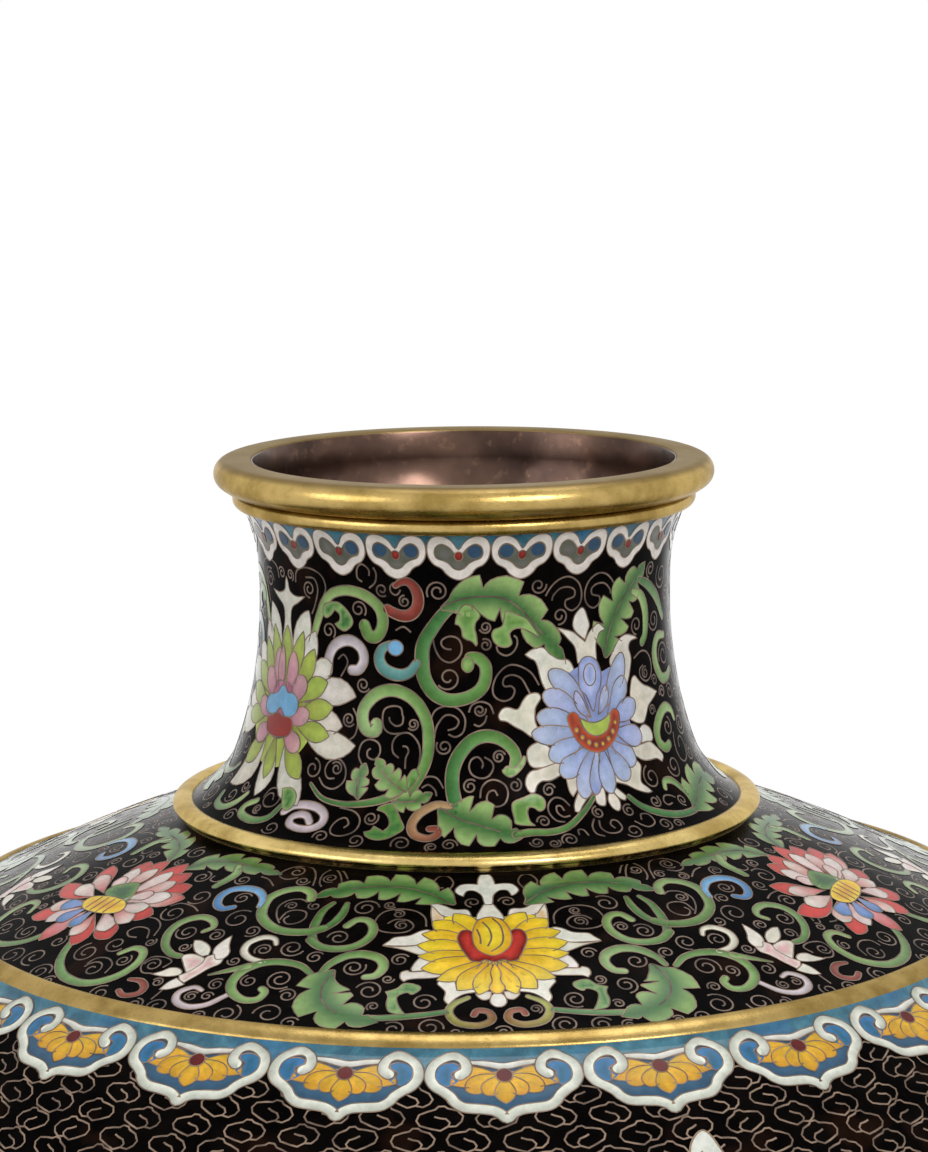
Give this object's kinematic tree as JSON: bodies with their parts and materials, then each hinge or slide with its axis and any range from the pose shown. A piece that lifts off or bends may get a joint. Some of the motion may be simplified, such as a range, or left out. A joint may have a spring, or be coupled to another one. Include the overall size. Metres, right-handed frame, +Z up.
{
  "type": "vase",
  "caption": "Round-bodied vase with a short flared neck: copper shells under black enamel with scrolling flowers, gilt rolled rim, two gilt rings and a gilt foot ring.",
  "frame": {"origin": "centre of the foot ring's underside, on the surface that the vase stands on", "axes": "+Z up along the vase's axis, -Y towards the side that the picture shows, +X to its right"},
  "size_m": [0.224, 0.224, 0.3],
  "materials": {
    "gilt_brass": "gilt, polished, slightly worn",
    "copper": "hammered copper with a brown patina",
    "copper_wire": "flat copper wire ground flush",
    "enamel_black": "glossy fired enamel",
    "enamel_turquoise": "glossy fired enamel",
    "enamel_white": "glossy fired enamel",
    "enamel_slate": "glossy fired enamel",
    "enamel_yellow": "glossy fired enamel"
  },
  "bodies": {
    "root": {"mouth_rim": "gilt_brass", "rim_collar": "gilt_brass", "neck_shell": "copper", "shoulder_shell": "copper", "upper_body_shell": "copper", "lower_body_shell": "copper", "foot_shell": "copper", "base_plate": "copper", "foot_ring": "gilt_brass", "neck_ring": "gilt_brass", "shoulder_ring": "gilt_brass", "ruyi_ground": "enamel_turquoise", "ruyi_wires": "copper_wire", "ruyi_whites": "enamel_white", "ruyi_fills": "enamel_slate", "neck_enamel": "enamel_black", "shoulder_enamel": "enamel_black", "lappet_ground": "enamel_turquoise", "lappet_wires": "copper_wire", "lappet_whites": "enamel_white", "lappet_fills": "enamel_yellow", "belly_enamel": "enamel_black", "petal_ground": "enamel_turquoise", "petal_wires": "copper_wire", "petal_fills": "enamel_white", "base_enamel": "enamel_turquoise"}
  },
  "joints": []
}
